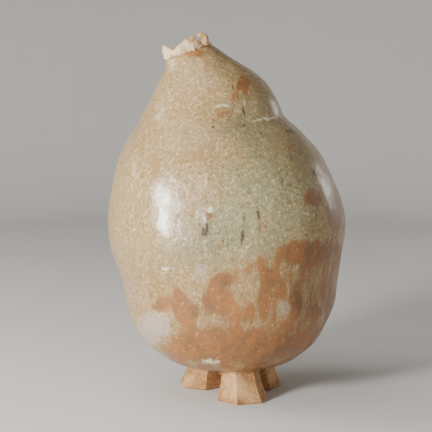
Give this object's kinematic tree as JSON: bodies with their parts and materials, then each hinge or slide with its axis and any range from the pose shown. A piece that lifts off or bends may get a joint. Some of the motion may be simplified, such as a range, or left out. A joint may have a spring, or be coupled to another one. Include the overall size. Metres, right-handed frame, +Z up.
{
  "type": "tripod_vase",
  "caption": "Hand-built leaning stoneware vase with a narrow tilted mouth of torn clay, ash and rust glaze, on knife-cut feet",
  "frame": {"origin": "on the table under the middle of the belly: centre of the bounding box in plan, at the soles of the feet", "axes": "+Z up; -Y is the front, the side seen in the picture; +X is to its right, away from which the mouth leans"},
  "size_m": [0.2683, 0.2513, 0.4107],
  "materials": {
    "ash_glazed_stoneware": "satin-gloss wood-ash glaze, sandy beige to grey-green, over iron-bearing stoneware",
    "rust_glazed_stoneware": "thin ash glaze broken to rust and orange over stoneware",
    "bare_stoneware": "pale torn clay, matt and grogged",
    "foot_stoneware": "knife-cut tan stoneware with a dry ash blush"
  },
  "bodies": {
    "root": {"wall_bowl": "rust_glazed_stoneware", "wall_belly": "ash_glazed_stoneware", "wall_crown": "ash_glazed_stoneware", "mouth_ring": "bare_stoneware", "torn_scrap_left": "bare_stoneware", "torn_scrap_front": "bare_stoneware", "torn_scrap_back": "bare_stoneware", "rolled_scrap": "bare_stoneware", "foot_front": "foot_stoneware", "foot_left": "foot_stoneware", "foot_right": "foot_stoneware", "luting_coil_front": "foot_stoneware", "luting_coil_left": "foot_stoneware", "luting_coil_right": "foot_stoneware"}
  },
  "joints": []
}
